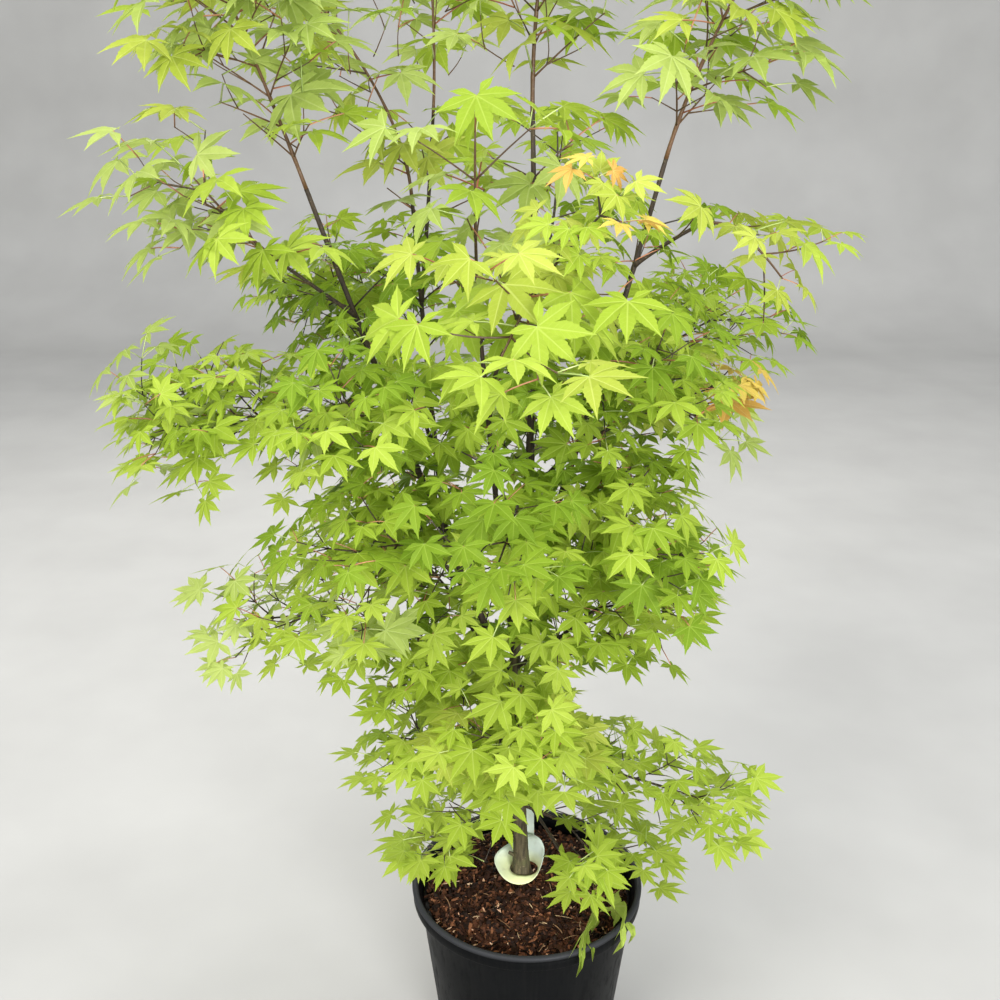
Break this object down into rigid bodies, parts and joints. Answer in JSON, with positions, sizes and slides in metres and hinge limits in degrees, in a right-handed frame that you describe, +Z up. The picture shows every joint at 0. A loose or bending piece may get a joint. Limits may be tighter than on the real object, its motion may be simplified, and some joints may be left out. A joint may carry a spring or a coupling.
{
  "type": "potted japanese maple",
  "caption": "Young japanese maple with a vase-shaped crown of lobed lime-green leaves, in a black nursery pot mulched with bark chips.",
  "frame": {"origin": "centre of the pot's flat underside, where it stands on the ground", "axes": "+Z up along the trunk, -Y towards the viewer of the picture, +X to the viewer's right"},
  "size_m": [0.9946, 0.889, 1.8206],
  "materials": {
    "pot": "satin",
    "mulch": "matte",
    "label": "satin",
    "bark": "matte",
    "bough": "satin",
    "leaves": "satin"
  },
  "bodies": {
    "root": {"pot": "pot", "mulch": "mulch", "label": "label", "trunk": "bark", "bough_left": "bough", "bough_mid_left": "bough", "bough_far_mid": "bough", "bough_centre": "bough", "bough_right": "bough", "bough_front": "bough", "bough_upper_left": "bough", "bough_far_left": "bough", "bough_low_left": "bough", "bough_left_back": "bough", "bough_upper_right": "bough", "bough_far_right": "bough", "bough_mid_right": "bough", "bough_right_back": "bough", "bough_near_front": "bough", "bough_mid_front": "bough", "bough_front_left": "bough", "bough_front_right": "bough", "bough_inner_left": "bough", "bough_inner_right": "bough", "bough_back": "bough", "bough_upper_back": "bough", "bough_low_back_left": "bough", "bough_low_back_right": "bough", "foliage_top_left": "leaves", "foliage_top_mid_left": "leaves", "foliage_top_mid": "leaves", "foliage_top_centre": "leaves", "foliage_top_right": "leaves", "foliage_upper_front": "leaves", "foliage_upper_left": "leaves", "foliage_far_left": "leaves", "foliage_low_left": "leaves", "foliage_left_back": "leaves", "foliage_upper_right": "leaves", "foliage_far_right": "leaves", "foliage_mid_right": "leaves", "foliage_right_back": "leaves", "foliage_near_front": "leaves", "foliage_mid_front": "leaves", "foliage_front_left": "leaves", "foliage_front_right": "leaves", "foliage_inner_left": "leaves", "foliage_inner_right": "leaves", "foliage_back": "leaves", "foliage_upper_back": "leaves", "foliage_low_back_left": "leaves", "foliage_low_back_right": "leaves", "foliage_skirt_front": "leaves", "foliage_skirt_left": "leaves", "foliage_skirt_right": "leaves", "foliage_skirt_back": "leaves", "foliage_foot_left": "leaves", "foliage_foot_right": "leaves", "foliage_foot_front": "leaves"}
  },
  "joints": []
}
